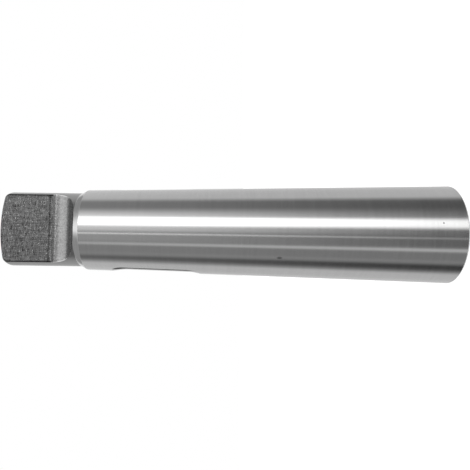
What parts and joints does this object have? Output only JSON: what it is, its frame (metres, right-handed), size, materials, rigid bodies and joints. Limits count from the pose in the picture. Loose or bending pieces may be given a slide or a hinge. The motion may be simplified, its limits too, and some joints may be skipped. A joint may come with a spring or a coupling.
{
  "type": "morse taper sleeve",
  "caption": "Reduction sleeve with an outer Morse taper and driving tang, a smaller Morse taper socket inside, and a drift slot for knocking the tool out.",
  "frame": {"origin": "centre of the big end face, on which the sleeve stands", "axes": "+Z along the taper's axis, from the big end face to the tang; the tang's two flats face +Y and -Y; the drift slot runs through nearly along X, turned 4 degrees from it towards +Y"},
  "size_m": [0.0247, 0.0248, 0.112],
  "materials": {
    "ground_steel": "hardened steel, ground to a fine finish on the taper and milled on the tang"
  },
  "bodies": {
    "root": {"taper_sleeve": "ground_steel"}
  },
  "joints": []
}
